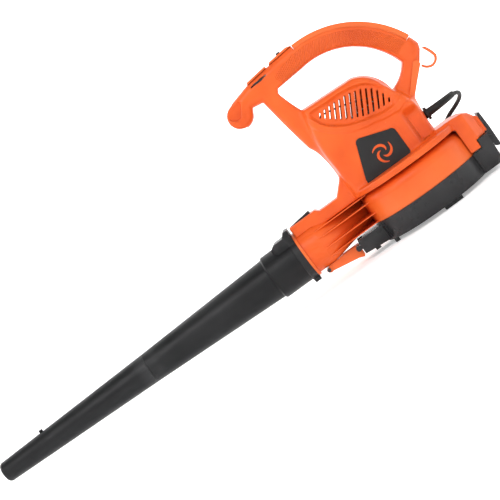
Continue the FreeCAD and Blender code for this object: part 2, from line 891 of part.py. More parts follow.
def duct_seal():
    """The soft ring deep in the duct that the tube's spigot presses against."""
    middle = value("tube_face + 22")
    outer = lying("spigot_radius - 0.3", "3", (middle, 0, value("tube_axis_height")), (1, 0, 0))
    inner = lying("spigot_radius - wall", "4", (middle, 0, value("tube_axis_height")), (1, 0, 0))
    keep("duct_seal", cut(outer, inner))


def tube_release_button():
    body = new_body("tube_release_button")
    wedge = sketch_on(body, "XZ")
    outline(wedge, (-208.4, 107.6), (-171.6, 107.6), (-171.6, 119.8), (-173, 120.2), (-208.4, 116))
    pad(body, wedge, "18.4", both=True)
    seat = sketch_on(body, "XY", "100")
    circle(seat, -190, 0, "5.6")
    pocket(body, seat, "10.4", True)


# ---------------------------------------------------------------- fan and motor


def impeller():
    """Backward-curved blades under a back plate, on a hub."""
    body = new_body("impeller")
    plate = sketch_on(body, "XY", "fan_plate_bottom")
    circle(plate, 0, 0, "fan_radius")
    pad(body, plate, "fan_plate_thickness")
    hub = sketch_on(body, "XY", "fan_bottom + 8")
    circle(hub, 0, 0, "hub_radius")
    pad(body, hub, "fan_plate_bottom - fan_bottom - 8")
    bore = sketch_on(body, "XY", "fan_bottom")
    circle(bore, 0, 0, "shaft_radius + 0.02")
    pocket(body, bore, "40", True)
    blade = sketch_on(body, "XY", "fan_bottom")
    outline(blade, (32, 0), ((52, 8), (70, 12)), (69.6, 14.4), ((51, 10.2), (31.6, 2.2)))
    patterned(body, pad(body, blade, "fan_plate_bottom - fan_bottom"), DIMENSIONS["fan_blades"])


def rotor():
    keep("motor_shaft", cylinder("shaft_radius", "137", "fan_bottom + 4"))
    nut = doc.addObject("Part::Prism", "Hexagon")
    nut.Polygon = 6
    nut.Circumradius = 7.5
    nut.Height = 5
    nut.Placement.Base = Vector(0, 0, 51.6)
    keep("impeller_nut", cut(nut, cylinder("shaft_radius", "10", "fan_bottom")))
    keep("impeller_washer", ring("8", "shaft_radius", "1.2", "fan_bottom + 6.8"))
    slots = []
    for number in range(12):
        slot = box((20, -1.2, 110), (26, 1.2, 156))
        slot.Placement.Rotation = FreeCAD.Rotation(Vector(0, 0, 1), 30 * number)
        slot.Placement.Base = slot.Placement.Rotation.multVec(Vector(20, -1.2, 0)) + Vector(0, 0, 110)
        slots.append(slot)
    core = ring("armature_radius", "shaft_radius", "core_height - 3", "core_bottom + 1.5")
    keep("armature_core", cut(core, fused(*slots)))
    lower = ring("20", "shaft_radius", "8", "core_bottom - 6.8")
    upper = ring("20", "shaft_radius", "9", "core_bottom + core_height - 1.2")
    group("armature_windings", lower, upper)
    keep("commutator", ring("11.5", "shaft_radius", "16", "core_bottom + core_height + 14"))


def field():
    keep("field_core", ring("motor_radius", "motor_bore", "core_height", "core_bottom"))
    lower = ring("motor_radius - 6", "motor_bore + 0.6", "8", "core_bottom - 8.3")
    upper = ring("motor_radius - 6", "motor_bore + 0.6", "8", "core_bottom + core_height + 0.3")
    group("field_coils", lower, upper)


def motor_frame():
    """The plates that carry the two bearings, and the posts that hold the plates apart."""
    lower = ring("motor_radius + 2.5", "bearing_radius + 0.02", "4", "casing_top")
    boss = ring("bearing_radius + wall - 0.4", "bearing_radius + 0.02", "9", "casing_top - 5")
    keep("lower_bearing_plate", fused(lower, boss))
    bridge = ring("motor_radius", "bearing_radius + 0.02", "bearing_width", "bridge_bottom")
    low = value("bridge_bottom - 1")
    windows = fused(box((-40, 15, low), (40, 40, low + 10)), box((-40, -40, low), (40, -15, low + 10)))
    keep("upper_bearing_bridge", cut(bridge, windows))
    keep("lower_bearing", ring("bearing_radius", "shaft_radius + 0.03", "bearing_width", "casing_top - 4"))
    keep("upper_bearing", ring("bearing_radius", "shaft_radius + 0.03", "bearing_width", "bridge_bottom"))
    posts = []
    for side in (-1, 1):
        posts.append(cylinder("2.5", "core_bottom - casing_top - 4.05", "casing_top + 4", side * 33, 0))
        posts.append(cylinder("2.5", "31.9", "core_bottom + core_height + 0.05", side * 33, 0))
    group("motor_posts", *posts)


def side_block(side, near, far, half_width, half_height):
    """A block reaching outward from the commutator, centred at the brushes' height."""
    level = value("brush_height")
    low, high = sorted((side * near, side * far))
    return box((-half_width, low, level - half_height), (half_width, high, level + half_height))


def brushes():
    holders, blocks = [], []
    for side in (-1, 1):
        holder = side_block(side, 14, 33, 6, 6.5)
        holders.append(cut(holder, side_block(side, 13, 31, 3.8, 4.5)))
        blocks.append(side_block(side, 11.9, 24, 3.5, 4.2))
    group("brush_holders", *holders)
    group("carbon_brushes", *blocks)
    level = value("brush_height")
    pressers = []
    for side in (-1, 1):
        pressers.append(coil(2.8, 0.45, 1.8, 5.4, (0, side * 24.6, level), (0, side, 0)))
    group("brush_springs", *pressers)


def motor_shroud():
    """The cup over the motor that keeps the cooling air on it, open at the bottom and slotted on top."""
    body = new_body("motor_shroud")
    cup = sketch_on(body, "XY", "shroud_bottom")
    circle(cup, 0, 0, "shroud_radius")
    pad(body, cup, "shroud_top - shroud_bottom")
    rounded(body, "8", lambda b: b.ZMin > value("shroud_top") - 0.1)
    inside = sketch_on(body, "XY", "shroud_bottom - 1")
    circle(inside, 0, 0, "shroud_radius - 1.4")
    pocket(body, inside, "shroud_top - shroud_bottom - 2", True)
    slot = sketch_on(body, "XY", "shroud_top - 12")
    outline(slot, (10, -2), (26, -3), (26, 3), (10, 2))
    patterned(body, pocket(body, slot, "20", True), 8)


def air_baffle():
    """The dark plate behind the vents that keeps the incoming air off the handle."""
    body = new_body("air_baffle")
    plate = sketch_on(body, "XZ")
    outline(plate, (-72, 203), (-74, 226), (-66, 231), (-34, 225), (2, 212), (28, 201), (28, 200))
    pad(body, plate, "60", both=True)
    inside = sketch_on(body, "XZ")
    outline(inside, (-80, 202), (-72.5, 223), (-66, 228.6), (-35, 222.6), (1, 209.8), (24, 199.6))
    pocket(body, inside, "70", both=True)


def coil(radius, wire, pitch, length, start, direction):
    """A coil spring of round wire, standing on its start point."""
    helix = Part.makeHelix(pitch, length, radius)
    section = Part.Wire(Part.Circle(Vector(radius, 0, 0), Vector(0, 1, 0), wire).toShape())
    made = doc.addObject("Part::Feature", "Coil")
    made.Shape = Part.Wire(helix.Edges).makePipeShell([section], True, True)
    made.Placement = FreeCAD.Placement(Vector(*start), FreeCAD.Rotation(Vector(0, 0, 1), Vector(*direction)))
    return made


def springs():
    keep("release_spring", coil(4.2, 0.35, 1.4, 5.8, (-190, 0, 104), (0, 0, 1)))
    keep("latch_spring", coil(2.6, 0.35, 1.3, 3.9, (124.5, 0, 50.4), (1, 0, 0)))


# ---------------------------------------------------------------- controls and cord


# The speed dial's upright axis, across from the fan's axis.
DIAL_PLACE = -113


def controls():
    """The slide switch and the speed dial, with what they work inside the handle."""
    knob_foot = box((-67, -3.8, 334.4), (-61, 3.8, 348))
    knob_top = box((-67.5, -4, 348), (-60.5, 4, 350.4))
    keep("switch_knob", fused(knob_foot, knob_top))
    keep("switch_body", box((-84, -8, 318), (-44, 8, 334)))
    wheel = ring("18.6", "3.06", "3", "329.4")
    wheel.Placement.Base = Vector(DIAL_PLACE, 0, 0)
    notches = []
    for number in range(36):
        angle = math.radians(10 * number)
        across, along = DIAL_PLACE + 18.9 * math.cos(angle), 18.9 * math.sin(angle)
        notches.append(cylinder("0.7", "6", "328", across, along))
    keep("speed_dial", cut(wheel, fused(*notches)))
    keep("dial_post", cylinder("3", "12.2", "320.1", DIAL_PLACE, 0))
    keep("control_board", box((-128, -12, 317), (-97, 12, 320)))
    keep("interlock_switch", box((102, -14, 83), (113, -4, 95)))


def strain_relief():
    """A tapered boot that leaves level and bends round to the back."""
    bend = 55
    level = value("cord_height")
    start = Vector(54, 0, level)
    straight_end = Vector(74, 0, level)
    turn = math.radians(60)
    middle = straight_end + Vector(bend * math.sin(turn / 2), bend * (1 - math.cos(turn / 2)), 0)
    end = straight_end + Vector(bend * math.sin(turn), bend * (1 - math.cos(turn)), 0)
    arc = Part.Arc(straight_end, middle, end).toShape()
    path = Part.Wire([arc])
    wide = Part.Wire(Part.Circle(straight_end, Vector(1, 0, 0), 6.6).toShape())
    heading = Vector(math.cos(turn), math.sin(turn), 0)
    narrow = Part.Wire(Part.Circle(end, heading, 5.2).toShape())
    boot = path.makePipeShell([wide, narrow], True, True)
    neck = Part.makeCylinder(7.4, 20, start, Vector(1, 0, 0))
    flange = Part.makeCylinder(11, 4, Vector(68.4, 0, level), Vector(1, 0, 0))
    made = doc.addObject("Part::Feature", "Boot")
    made.Shape = neck.fuse([flange, boot]).removeSplitter()
    keep("strain_relief", made)


CORD_ROUTE = (
    (121.6, 27.5, 133),
    (131.4, 43.4, 130.8),
    (135.6, 61, 125),
    (131.5, 78, 117.5),
    (119.5, 91, 110.8),
    (104, 99.5, 104.5),
    (89, 106, 95),
    (76, 111, 81),
    (64, 115, 64),
    (52, 119, 46),
    (40, 122, 29),
    (26, 125.5, 15),
    (9, 128, 6),
    (-11, 128.5, 3.55),
    (-30, 126.5, 3.6),
    (-46, 124, 6),
    (-60, 122, 9),
)


def rounded_path(points):
    """Straight runs joined by tangent arcs, each as large as its two runs allow."""
    points = [Vector(*p) for p in points]
    edges, here, radii = [], points[0], []
    for before, corner, after in zip(points, points[1:], points[2:]):
        coming, going = corner - before, after - corner
        turn = coming.getAngle(going)
        reach = 0.45 * min(coming.Length, going.Length)
        radii.append(reach / math.tan(turn / 2))
        start = corner - coming.normalize() * reach
        end = corner + going.normalize() * reach
        inward = (going - coming).normalize()
        middle = (start + end) * 0.5 - inward * radii[-1] * (1 - math.cos(turn / 2))
        edges += [Part.LineSegment(here, start).toShape(), Part.Arc(start, middle, end).toShape()]
        here = end
    edges.append(Part.LineSegment(here, points[-1]).toShape())
    return Part.Wire(edges), radii


def power_cord():
    path, radii = rounded_path(CORD_ROUTE)
    radius = value("cord_radius")
    first = Vector(*CORD_ROUTE[1]) - Vector(*CORD_ROUTE[0])
    section = Part.Wire(Part.Circle(Vector(*CORD_ROUTE[0]), first, radius).toShape())
    made = doc.addObject("Part::Feature", "Cord")
    made.Shape = path.makePipeShell([section], True, False)
    keep("power_cord", made)
    expected = math.pi * radius**2 * path.Length
    print("cord radii", [round(r, 1) for r in radii])
    print("cord length", round(path.Length, 1), "volume ratio", round(made.Shape.Volume / expected, 4))


def plug():
    """The moulded two-blade plug on the cord's end, lying on the floor."""
    tail = Vector(*CORD_ROUTE[-1])
    heading = tail - Vector(*CORD_ROUTE[-2])
    heading.z = 0
    turn = FreeCAD.Rotation(Vector(1, 0, 0), heading)
    sleeve = Part.makeCone(4.4, 6.4, 14, Vector(0, 0, 0), Vector(1, 0, 0))
    block = Part.makeBox(22, 24, 15, Vector(13, -12, -8))
    block = block.makeFillet(3, [e for e in block.Edges if e.BoundBox.XLength > 20])
    made = doc.addObject("Part::Feature", "Plug")
    made.Shape = sleeve.fuse(block).removeSplitter()
    made.Placement = FreeCAD.Placement(tail, turn)
    keep("cord_plug", made)
    blades = []
    for side in (-1, 1):
        blade = Part.makeBox(17, 1.5, 6.4, Vector(35, side * 6.35 - 0.75, -3.7))
        eye = Part.makeCylinder(1.6, 4, Vector(47, side * 6.35 - 2, -0.5), Vector(0, 1, 0))
        blades.append(blade.cut(eye))
    prongs = doc.addObject("Part::Feature", "Prongs")
    prongs.Shape = Part.makeCompound(blades)
    prongs.Placement = FreeCAD.Placement(tail, turn)
    keep("plug_blades", prongs)


def lead_wires():
    """The mains lead inside the rear leg, from the boot to the switch body."""
    route = [(46, 0, 136), (48, 0, 152), (58, 0, 172), (78, 0, 192), (100, 0, 212)]
    for degrees in (26, 38, 50, 62, 74, 84):
        across, up = on_arch(147, degrees)
        route.append((across, 0, up))
    path, _ = rounded_path(route)
    first = Vector(*route[1]) - Vector(*route[0])
    section = Part.Wire(Part.Circle(Vector(*route[0]), first, 3).toShape())
    made = doc.addObject("Part::Feature", "Leads")
    made.Shape = path.makePipeShell([section], True, False)
    keep("lead_wires", made)


def cord_clamp():
    keep("cord_clamp", box((43, -9, 122), (52, 9, 131.6)))


def screws():
    """Pan-head screws, each a separate solid of its group."""
    body_screws = []
    for across, up, _ in HOUSING_SCREWS:
        body_screws.append(lying("1.5", "24", (across, 0, up), (0, 1, 0)))
    group("housing_screws", *body_screws)
    casing_screws = []
    for number in range(4):
        place = on_screw_circle(45 + 90 * number)
        shank = cylinder("case_screw_radius", "14.8", "casing_top - wall - 0.2", *place)
        head = cylinder("4", "2", "casing_top - wall - 2.2", *place)
        casing_screws.append(fused(shank, head))
    group("casing_screws", *casing_screws)


# ---------------------------------------------------------------- build


def write_parts():
    doc.recompute()
    for item in doc.Objects:
        if "Invalid" in item.State or "Error" in item.State:
            raise RuntimeError(f"{item.Name} ({item.Label}) did not build: {item.State}")
    os.makedirs("parts", exist_ok=True)
    for label, item in nodes.items():
        shape = item.Shape
        if shape.isNull() or not shape.isValid() or not shape.Solids:
            raise RuntimeError(f"{label} has no valid solid")
        shape.exportStep(f"parts/{label}.step")
        print(label, len(shape.Solids), round(shape.Volume))


fill_sheet()
housing_half("housing_left", -1)
housing_half("housing_right", 1)
nameplate("nameplate_left", -1)
nameplate("nameplate_right", 1)
grip_cap()
switch_frame()
dial_frame()
rear_leg_cover()
cord_hook()
scroll_casing()
casing_floor()
hinge_bracket()
intake_cover()
cover_knuckles()
cover_feet()
latch_lever()
pins()
rear_tube()
front_tube()
duct_seal()
tube_release_button()
impeller()
rotor()
field()
motor_frame()
brushes()
motor_shroud()
air_baffle()
springs()
controls()
strain_relief()
power_cord()
plug()
lead_wires()
cord_clamp()
screws()
write_parts()
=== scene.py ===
import bpy
import json
import math
import numpy as np
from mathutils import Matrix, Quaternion, Vector


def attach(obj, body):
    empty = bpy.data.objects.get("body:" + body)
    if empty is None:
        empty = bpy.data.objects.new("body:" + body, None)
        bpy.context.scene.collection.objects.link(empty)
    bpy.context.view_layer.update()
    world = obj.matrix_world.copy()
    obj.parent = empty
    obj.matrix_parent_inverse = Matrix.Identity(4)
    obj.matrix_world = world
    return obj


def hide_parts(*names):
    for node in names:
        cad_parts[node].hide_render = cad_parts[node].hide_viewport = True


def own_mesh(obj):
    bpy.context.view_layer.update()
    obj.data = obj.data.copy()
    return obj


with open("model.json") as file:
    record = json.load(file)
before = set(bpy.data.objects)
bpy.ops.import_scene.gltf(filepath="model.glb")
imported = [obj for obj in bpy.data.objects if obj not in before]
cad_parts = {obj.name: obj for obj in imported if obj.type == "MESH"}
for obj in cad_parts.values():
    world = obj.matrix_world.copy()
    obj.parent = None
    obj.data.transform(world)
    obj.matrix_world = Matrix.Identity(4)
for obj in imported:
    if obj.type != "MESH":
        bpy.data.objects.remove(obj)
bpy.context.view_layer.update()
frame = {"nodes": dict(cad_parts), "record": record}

# Sizes are in millimetres and become metres as each mesh is made.
MM = 0.001
GRID = 1.3
WALL = 3.0
GRIP_WIDTH = 18.0
ARCH = (-32.0, 181.0)
ARCH_INNER = 127.0
ARCH_OUTER = 165.0
NOSE = (-170.0, 305.0)
NOSE_RADIUS = 22.0
DECK = (90.0, 100.6)
DECK_RADIUS = 98.0
DECK_EDGE = 3.0
REAR_WIDTH = 45.0
CASING_ROOM = (97.0, 88.4)
SHROUD_ROOM = (39.0, 110.0)
PLATE_SEAT = 43.8
PLATE_FOOT = 101.2
CORD_WAY = (50.0, 133.0, 8.2)
VENT_SLOTS = 14
VENT_WIDTH = 2.8
VENT_LEAN = 0.57
EMBLEM = (-22, 127)
RIB_RADIUS = 140.5
RIB_PITCH = 3.0
CAP_WIDTH = 15.5
CAP_LEVEL = 156.4
CAP_ENDS = (24.4, 92.6)
CAP_GAP = 0.4

CORD_ROUTE = (
    (0.1216, 0.0275, 0.133),
    (0.1314, 0.0434, 0.1308),
    (0.1356, 0.061, 0.125),
    (0.1315, 0.078, 0.1175),
    (0.1195, 0.091, 0.1108),
    (0.104, 0.0995, 0.1045),
    (0.089, 0.106, 0.095),
    (0.076, 0.111, 0.081),
    (0.064, 0.115, 0.064),
    (0.052, 0.119, 0.046),
    (0.04, 0.122, 0.029),
    (0.026, 0.1255, 0.015),
    (0.009, 0.128, 0.006),
    (-0.011, 0.1285, 0.00355),
    (-0.03, 0.1265, 0.0036),
    (-0.046, 0.124, 0.006),
    (-0.06, 0.122, 0.009),
)
CORD_DIAMETER = 0.007


# ---------------------------------------------------------------- camera, light and floor


def camera():
    """The photograph's viewing angle: from the left side, a little from the back and above, rolled."""
    place = Vector((-0.0838, -2.2881, 0.2444))
    aim = Vector((-0.284, 0.0, 0.124))
    data = bpy.data.cameras.new("camera")
    data.sensor_width = 36
    data.lens = 103.5
    obj = bpy.data.objects.new("camera", data)
    obj.location = place
    obj.rotation_mode = "QUATERNION"
    roll = Quaternion((0, 0, 1), math.radians(-36.46))
    obj.rotation_quaternion = (aim - place).to_track_quat("-Z", "Y") @ roll
    bpy.context.scene.collection.objects.link(obj)
    bpy.context.scene.camera = obj


def softbox(name, place, aim, size, watts):
    data = bpy.data.lights.new(name, "AREA")
    data.shape = "RECTANGLE"
    data.size, data.size_y = size
    data.energy = watts
    obj = bpy.data.objects.new(name, data)
    obj.location = place
    obj.rotation_mode = "QUATERNION"
    obj.rotation_quaternion = (Vector(aim) - Vector(place)).to_track_quat("-Z", "Y")
    bpy.context.scene.collection.objects.link(obj)


def lights():
    softbox("key", (-0.7, -1.5, 1.7), (-0.05, 0, 0.18), (1.3, 0.7), 12)
    softbox("front", (0.5, -2.2, 0.5), (-0.1, 0, 0.12), (0.5, 1.2), 2.6)
    softbox("top", (0.0, 0.3, 2.0), (-0.1, 0, 0.2), (1.6, 0.8), 5)
    softbox("tube_side", (-1.3, -1.2, 0.9), (-0.5, 0, 0.07), (1.2, 0.3), 3)
    world = bpy.data.worlds.new("studio")
    world.use_nodes = True
    background = world.node_tree.nodes["Background"]
    background.inputs["Color"].default_value = (1, 1, 1, 1)
    background.inputs["Strength"].default_value = 0.13
    bpy.context.scene.world = world
    bpy.context.scene.view_settings.view_transform = "Standard"


def floor():
    """A pale sweep: flat under the object and curving up far behind it and in front. It glows with painted
    light, faint at the front and strong far behind.
    """
    flat, curve, top, steps, spokes = 3.0, 1.5, 7.0, 14, 48
    profile = [(flat, 0.0)]
    for step in range(1, steps + 1):
        turn = math.radians(90 * step / steps)
        profile.append((flat + curve * math.sin(turn), curve * (1 - math.cos(turn))))
    profile.append((flat + curve, top))
    verts, faces = [], []
    for number in range(spokes):
        turn = 2 * math.pi * number / spokes
        for reach, height in profile:
            verts.append((reach * math.cos(turn), reach * math.sin(turn), height))
    rings = len(profile)
    for number in range(spokes):
        after = (number + 1) % spokes
        for level in range(rings - 1):
            low, high = number * rings + level, after * rings + level
            faces.append((low, high, high + 1, low + 1))
    faces.append([number * rings for number in reversed(range(spokes))])
    mesh = bpy.data.meshes.new("floor")
    mesh.from_pydata(verts, [], faces)
    mesh.polygons.foreach_set("use_smooth", [len(f) == 4 for f in faces])
    obj = bpy.data.objects.new("floor", mesh)
    bpy.context.scene.collection.objects.link(obj)
    material, nodes, links, shader = new_material("pale_floor_painted_glow")
    shader.inputs["Base Color"].default_value = (0.93, 0.93, 0.93, 1)
    shader.inputs["Roughness"].default_value = 0.9
    shader.inputs["Specular IOR Level"].default_value = 0.0
    shader.inputs["Emission Color"].default_value = (1, 1, 1, 1)
    # Painted light: the sweep's own glow rises from faint at the front to strong far behind, in place of
    # lamplight falling on a studio backdrop.
    place = nodes.new("ShaderNodeTexCoord")
    split = nodes.new("ShaderNodeSeparateXYZ")
    links.new(place.outputs["Object"], split.inputs[0])
    glow = nodes.new("ShaderNodeMapRange")
    for label, level in (("From Min", -1.7), ("From Max", 2.6), ("To Min", 0.03), ("To Max", 0.85)):
        glow.inputs[label].default_value = level
    links.new(split.outputs["Y"], glow.inputs["Value"])
    links.new(glow.outputs["Result"], shader.inputs["Emission Strength"])
    mesh.materials.append(material)


# ---------------------------------------------------------------- materials


def new_material(name):
    material = bpy.data.materials.new(name)
    material.use_nodes = True
    nodes, links = material.node_tree.nodes, material.node_tree.links
    return material, nodes, links, nodes["Principled BSDF"]


def noise(nodes, links, scale, detail=4.0, stretch=None):
    """Noise in the object's own metres; stretch scales the axes, as for grain drawn out one way."""
    place = nodes.new("ShaderNodeTexCoord")
    texture = nodes.new("ShaderNodeTexNoise")
    texture.inputs["Scale"].default_value = scale
    texture.inputs["Detail"].default_value = detail
    source = place.outputs["Object"]
    if stretch:
        mapping = nodes.new("ShaderNodeMapping")
        mapping.inputs["Scale"].default_value = stretch
        links.new(source, mapping.inputs["Vector"])
        source = mapping.outputs["Vector"]
    links.new(source, texture.inputs["Vector"])
    return texture.outputs["Fac"]


def ramp(nodes, links, source, stops):
    made = nodes.new("ShaderNodeValToRGB")
    points = made.color_ramp.elements
    while len(points) < len(stops):
        points.new(0.5)
    for point, (position, colour) in zip(points, stops):
        point.position = position
        point.color = colour if len(colour) == 4 else (*colour, 1)
    links.new(source, made.inputs["Fac"])
    return made.outputs["Color"]


def grey(level):
    return (level, level, level, 1)


def mixed(nodes, links, kind, amount, first, second):
    made = nodes.new("ShaderNodeMix")
    made.data_type = "RGBA"
    made.blend_type = kind
    if isinstance(amount, float):
        made.inputs["Factor"].default_value = amount
    else:
        links.new(amount, made.inputs["Factor"])
    links.new(first, made.inputs["A"])
    if isinstance(second, tuple):
        made.inputs["B"].default_value = second
    else:
        links.new(second, made.inputs["B"])
    return made.outputs["Result"]


def moulded(name, dark, mid, light, wear, rough, grain, bump, coat=0.0, edge=0.0006):
    """Moulded plastic: slow colour drift, flow streaks, a fine pebbled skin and paler rubbed edges."""
    material, nodes, links, shader = new_material(name)
    slow = noise(nodes, links, 14, 3)
    body = ramp(nodes, links, slow, ((0.32, dark), (0.5, mid), (0.7, light)))
    streak = noise(nodes, links, 60, 5, (0.25, 1, 1))
    streaks = ramp(nodes, links, streak, ((0.3, grey(0.9)), (0.7, grey(1))))
    body = mixed(nodes, links, "MULTIPLY", 0.35, body, streaks)
    edges = nodes.new("ShaderNodeNewGeometry").outputs["Pointiness"]
    rubbed = ramp(nodes, links, edges, ((0.52, grey(0)), (0.6, grey(0.5))))
    body = mixed(nodes, links, "MIX", rubbed, body, (*wear, 1))
    links.new(body, shader.inputs["Base Color"])
    skin = noise(nodes, links, grain, 6)
    smears = noise(nodes, links, 35, 4)
    low, high = rough
    finish = ramp(nodes, links, smears, ((0.3, grey(low)), (0.7, grey(high))))
    pebbles = ramp(nodes, links, skin, ((0.3, grey(0.8)), (0.7, grey(1))))
    finish = mixed(nodes, links, "MULTIPLY", 0.3, finish, pebbles)
    links.new(finish, shader.inputs["Roughness"])
    rounding = nodes.new("ShaderNodeBevel")
    rounding.samples = 4
    rounding.inputs["Radius"].default_value = edge
    relief = nodes.new("ShaderNodeBump")
    relief.inputs["Strength"].default_value = bump
    relief.inputs["Distance"].default_value = 0.0004
    links.new(skin, relief.inputs["Height"])
    links.new(rounding.outputs["Normal"], relief.inputs["Normal"])
    links.new(relief.outputs["Normal"], shader.inputs["Normal"])
    shader.inputs["Specular IOR Level"].default_value = 0.25
    shader.inputs["Coat Weight"].default_value = coat
    shader.inputs["Coat Roughness"].default_value = 0.25
    return material


def maths(nodes, links, operation, *values):
    made = nodes.new("ShaderNodeMath")
    made.operation = operation
    for socket, item in zip(made.inputs, values):
        if isinstance(item, float):
            socket.default_value = item
        else:
            links.new(item, socket)
    return made.outputs[0]


def ribbed(plain):
    """The housing's plastic, with fine leaning ribs in relief round the grip's sides."""
    material = plain.copy()
    material.name = "orange_ribbed_grip"
    nodes, links = material.node_tree.nodes, material.node_tree.links
    shader = nodes["Principled BSDF"]
    place, split = nodes.new("ShaderNodeTexCoord"), nodes.new("ShaderNodeSeparateXYZ")
    links.new(place.outputs["Object"], split.inputs[0])
    x = maths(nodes, links, "SUBTRACT", split.outputs["X"], ARCH[0] * MM)
    z = maths(nodes, links, "SUBTRACT", split.outputs["Z"], ARCH[1] * MM)
    squares = [maths(nodes, links, "MULTIPLY", item, item) for item in (x, z)]
    radius = maths(nodes, links, "SQRT", maths(nodes, links, "ADD", *squares))
    turn = maths(nodes, links, "ARCTAN2", z, x)
    around = maths(nodes, links, "MULTIPLY", turn, RIB_RADIUS * MM)
    leaning = maths(nodes, links, "MULTIPLY", radius, math.tan(math.radians(25)))
    along = maths(nodes, links, "ADD", around, leaning)
    phase = maths(nodes, links, "MULTIPLY", along, 2 * math.pi / (RIB_PITCH * MM))
    height = maths(nodes, links, "SINE", phase)
    for item, middle, reach in ((radius, RIB_RADIUS * MM, 0.0115), (turn, 1.2, 0.77)):
        within = maths(nodes, links, "COMPARE", item, middle, reach)
        height = maths(nodes, links, "MULTIPLY", height, within)
    relief = nodes.new("ShaderNodeBump")
    relief.inputs["Strength"].default_value = 0.8
    relief.inputs["Distance"].default_value = 0.0006
    links.new(height, relief.inputs["Height"])
    links.new(shader.inputs["Normal"].links[0].from_socket, relief.inputs["Normal"])
    links.new(relief.outputs["Normal"], shader.inputs["Normal"])
    return material


def metal(name, dark, light, rough, stretch, grain=500, bump=0.15):
    """Bare metal with drawn or turned grain and a few duller patches."""
    material, nodes, links, shader = new_material(name)
    slow = noise(nodes, links, 40, 4)
    body = ramp(nodes, links, slow, ((0.3, dark), (0.7, light)))
    lines = noise(nodes, links, grain, 4, stretch)
    drawn = ramp(nodes, links, lines, ((0.3, grey(0.8)), (0.7, grey(1))))
    body = mixed(nodes, links, "MULTIPLY", 0.3, body, drawn)
    links.new(body, shader.inputs["Base Color"])
    low, high = rough
    links.new(ramp(nodes, links, lines, ((0.3, grey(low)), (0.7, grey(high)))), shader.inputs["Roughness"])
    relief = nodes.new("ShaderNodeBump")
    relief.inputs["Strength"].default_value = bump
    relief.inputs["Distance"].default_value = 0.0002
    links.new(lines, relief.inputs["Height"])
    links.new(relief.outputs["Normal"], shader.inputs["Normal"])
    shader.inputs["Metallic"].default_value = 1.0
    return material


def make_materials():
    made = {}
    made["orange"] = moulded(
        "orange_plastic", (0.74, 0.092, 0.012), (0.83, 0.115, 0.016), (0.88, 0.135, 0.02),
        (0.9, 0.2, 0.05), (0.3, 0.4), 1600, 0.12, coat=0.06,
    )
    made["tube"] = moulded(
        "black_tube", (0.007, 0.007, 0.008), (0.01, 0.01, 0.011), (0.014, 0.014, 0.015),
        (0.06, 0.06, 0.062), (0.36, 0.48), 1900, 0.22,
    )
    made["cover"] = moulded(
        "black_cover", (0.005, 0.005, 0.006), (0.008, 0.008, 0.009), (0.012, 0.012, 0.013),
        (0.05, 0.05, 0.052), (0.26, 0.36), 1500, 0.12, coat=0.1,
    )
    made["plate"] = moulded(
        "plate_film", (0.008, 0.008, 0.009), (0.011, 0.011, 0.012), (0.014, 0.014, 0.015),
        (0.03, 0.03, 0.03), (0.3, 0.4), 900, 0.05,
    )
    made["rubber"] = moulded(
        "black_rubber", (0.012, 0.012, 0.012), (0.017, 0.017, 0.017), (0.023, 0.023, 0.023),
        (0.04, 0.04, 0.04), (0.5, 0.65), 2200, 0.3,
    )
    made["fan"] = moulded(
        "grey_nylon", (0.1, 0.1, 0.105), (0.13, 0.13, 0.135), (0.16, 0.16, 0.165),
        (0.24, 0.24, 0.24), (0.4, 0.55), 1500, 0.2,
    )
    made["board"] = moulded(
        "circuit_board", (0.01, 0.07, 0.025), (0.014, 0.1, 0.035), (0.02, 0.13, 0.05),
        (0.1, 0.2, 0.1), (0.3, 0.45), 700, 0.1,
    )
    made["carbon"] = moulded(
        "carbon_block", (0.02, 0.02, 0.02), (0.035, 0.035, 0.036), (0.05, 0.05, 0.052),
        (0.09, 0.09, 0.09), (0.45, 0.6), 1800, 0.3,
    )
    made["steel"] = metal("steel", (0.5, 0.5, 0.51), (0.62, 0.62, 0.63), (0.22, 0.38), (1, 12, 1))
    made["pin"] = metal("blackened_steel", (0.05, 0.05, 0.052), (0.09, 0.09, 0.092), (0.4, 0.55), (1, 12, 1))
    made["core"] = metal(
        "core_steel", (0.26, 0.26, 0.27), (0.36, 0.36, 0.37), (0.4, 0.6), (1, 1, 20), 300, 0.5,
    )
    made["copper"] = metal(
        "copper_wire", (0.62, 0.24, 0.12), (0.78, 0.34, 0.18), (0.25, 0.42), (1, 1, 14), 300, 0.6,
    )
    made["aluminium"] = metal("aluminium", (0.66, 0.66, 0.67), (0.76, 0.76, 0.77), (0.3, 0.5), (3, 3, 1))
    made["brass"] = metal("brass", (0.68, 0.46, 0.18), (0.8, 0.58, 0.26), (0.22, 0.4), (8, 1, 1))
    return made


# The record's material slots, and the material that each takes here.
SLOT_MATERIALS = {
    "housing_orange": "orange",
    "tube_black": "tube",
    "cover_black": "cover",
    "nameplate": "plate",
    "rubber_black": "rubber",
    "steel": "steel",
    "core_steel": "core",
    "fan_grey": "fan",
    "copper": "copper",
    "aluminium": "aluminium",
    "brass": "brass",
    "carbon": "carbon",
    "circuit_board": "board",
}


PIN_NODES = ("hook_pin", "cover_hinge_pin", "latch_pin")


def dress_nodes(materials):
    """Each CAD node takes the material of its slot in the record."""
    for part in frame["record"]["subparts"]:
        node = frame["nodes"][part["node"]]
        node.data.materials.clear()
        kind = "pin" if part["node"] in PIN_NODES else SLOT_MATERIALS[part["material_slot"]]
        node.data.materials.append(materials[kind])


# ---------------------------------------------------------------- outlines and distances


